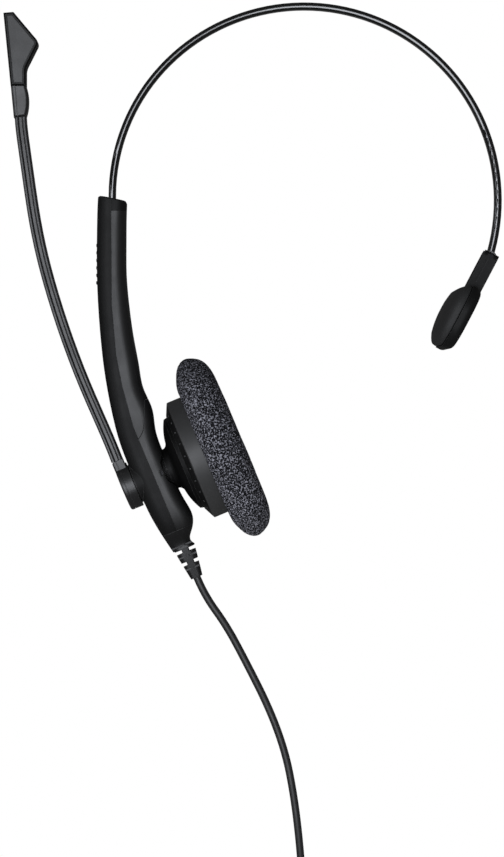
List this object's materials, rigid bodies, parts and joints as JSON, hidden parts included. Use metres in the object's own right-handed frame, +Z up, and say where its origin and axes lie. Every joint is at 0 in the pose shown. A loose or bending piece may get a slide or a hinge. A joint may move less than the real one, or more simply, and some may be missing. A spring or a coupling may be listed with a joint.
{
  "type": "office headset",
  "caption": "Single-ear office headset with a wire headband, foam ear cushion, swinging boom microphone, temple pad and a thin cord put away in a tied coil.",
  "frame": {"origin": "centre of the ear cushion's face, where the headset bears on the ear", "axes": "+Z up the worn headset, +X from the ear cup towards the head and the temple pad, Y front to back, across the round faces"},
  "size_m": [0.1606, 0.062, 0.3636],
  "materials": {
    "foam": "open-cell foam, coarse matt grain",
    "felt": "felt",
    "shell_plastic": "fine matt texture",
    "satin_plastic": "smooth satin",
    "boom_plastic": "satin, slightly flexible",
    "panel_plastic": "matt, one shade lighter",
    "inner_plastic": "plain moulded",
    "wire_paint": "gloss black coat on spring steel",
    "soft_pad": "soft matt pad",
    "relief_rubber": "soft satin rubber",
    "cord_jacket": "matt jacket",
    "tie": "hook and loop tape",
    "plug_plastic": "moulded grip",
    "plug_metal": "polished contact",
    "steel": "plain steel",
    "copper": "enamelled winding"
  },
  "bodies": {
    "arm": {"arm_outer_shell": "shell_plastic", "arm_inner_shell": "satin_plastic", "arm_lower_cover": "satin_plastic", "arm_collar": "shell_plastic", "shell_screws": "steel", "detent_spring": "steel", "strain_relief": "relief_rubber", "cord_anchor": "cord_jacket", "cord_clamp": "inner_plastic", "arm_leads": "cord_jacket", "boom_friction_washer": "inner_plastic", "cord_run": "cord_jacket", "cord_coil": "cord_jacket", "cord_tail": "cord_jacket", "cord_tie": "tie", "plug_relief": "relief_rubber", "plug_body": "plug_plastic", "plug_contacts": "plug_metal", "plug_insulators": "inner_plastic"},
    "headband": {"headband_wire": "wire_paint", "slider_shoe": "inner_plastic", "band_end_fitting": "wire_paint"},
    "temple": {"temple_holder": "satin_plastic", "temple_pad": "soft_pad", "temple_pin": "steel"},
    "ear_gimbal": {"pivot_ring": "steel"},
    "ear_cup": {"foam_cushion": "foam", "speaker_plate": "satin_plastic", "felt_disc": "felt", "ear_back_shell": "satin_plastic", "ear_dome_cap": "shell_plastic", "ear_stem": "inner_plastic", "stem_pin": "steel", "stem_screws": "steel", "driver_basket": "inner_plastic", "driver_magnet": "steel", "driver_diaphragm": "inner_plastic", "voice_coil": "copper", "speaker_lead": "cord_jacket"},
    "boom": {"boom_hub": "shell_plastic", "boom_retaining_clip": "steel", "boom_outer_strip": "boom_plastic", "boom_inner_strip": "boom_plastic", "boom_core": "boom_plastic", "boom_form_strip": "steel", "mic_lead": "cord_jacket", "boom_ferrule": "boom_plastic", "mic_body": "boom_plastic", "mic_side_panels": "panel_plastic", "mic_capsule": "steel", "mic_mesh": "inner_plastic"}
  },
  "joints": [
    {"name": "headband_slide", "type": "slide", "parent": "arm", "child": "headband", "axis": [0, 0, 1], "range_m": [0, 0.024]},
    {"name": "temple_tilt", "type": "hinge", "parent": "headband", "child": "temple", "pos_m": [0.0799, 0, 0.0589], "axis": [0, 1, 0], "range_deg": [-12, 12]},
    {"name": "ear_tilt_up_down", "type": "hinge", "parent": "arm", "child": "ear_gimbal", "pos_m": [-0.02633, 0, -0.01117], "axis": [0, 1, 0], "range_deg": [-7, 7]},
    {"name": "ear_tilt_front_back", "type": "hinge", "parent": "ear_gimbal", "child": "ear_cup", "pos_m": [-0.02633, 0, -0.01117], "axis": [-0.3907, 0, 0.9205], "range_deg": [-7, 7]},
    {"name": "boom_swing", "type": "hinge", "parent": "arm", "child": "boom", "pos_m": [-0.03526, 0, -0.01496], "axis": [0.9205, 0, 0.3907], "range_deg": [-135, 135]}
  ]
}
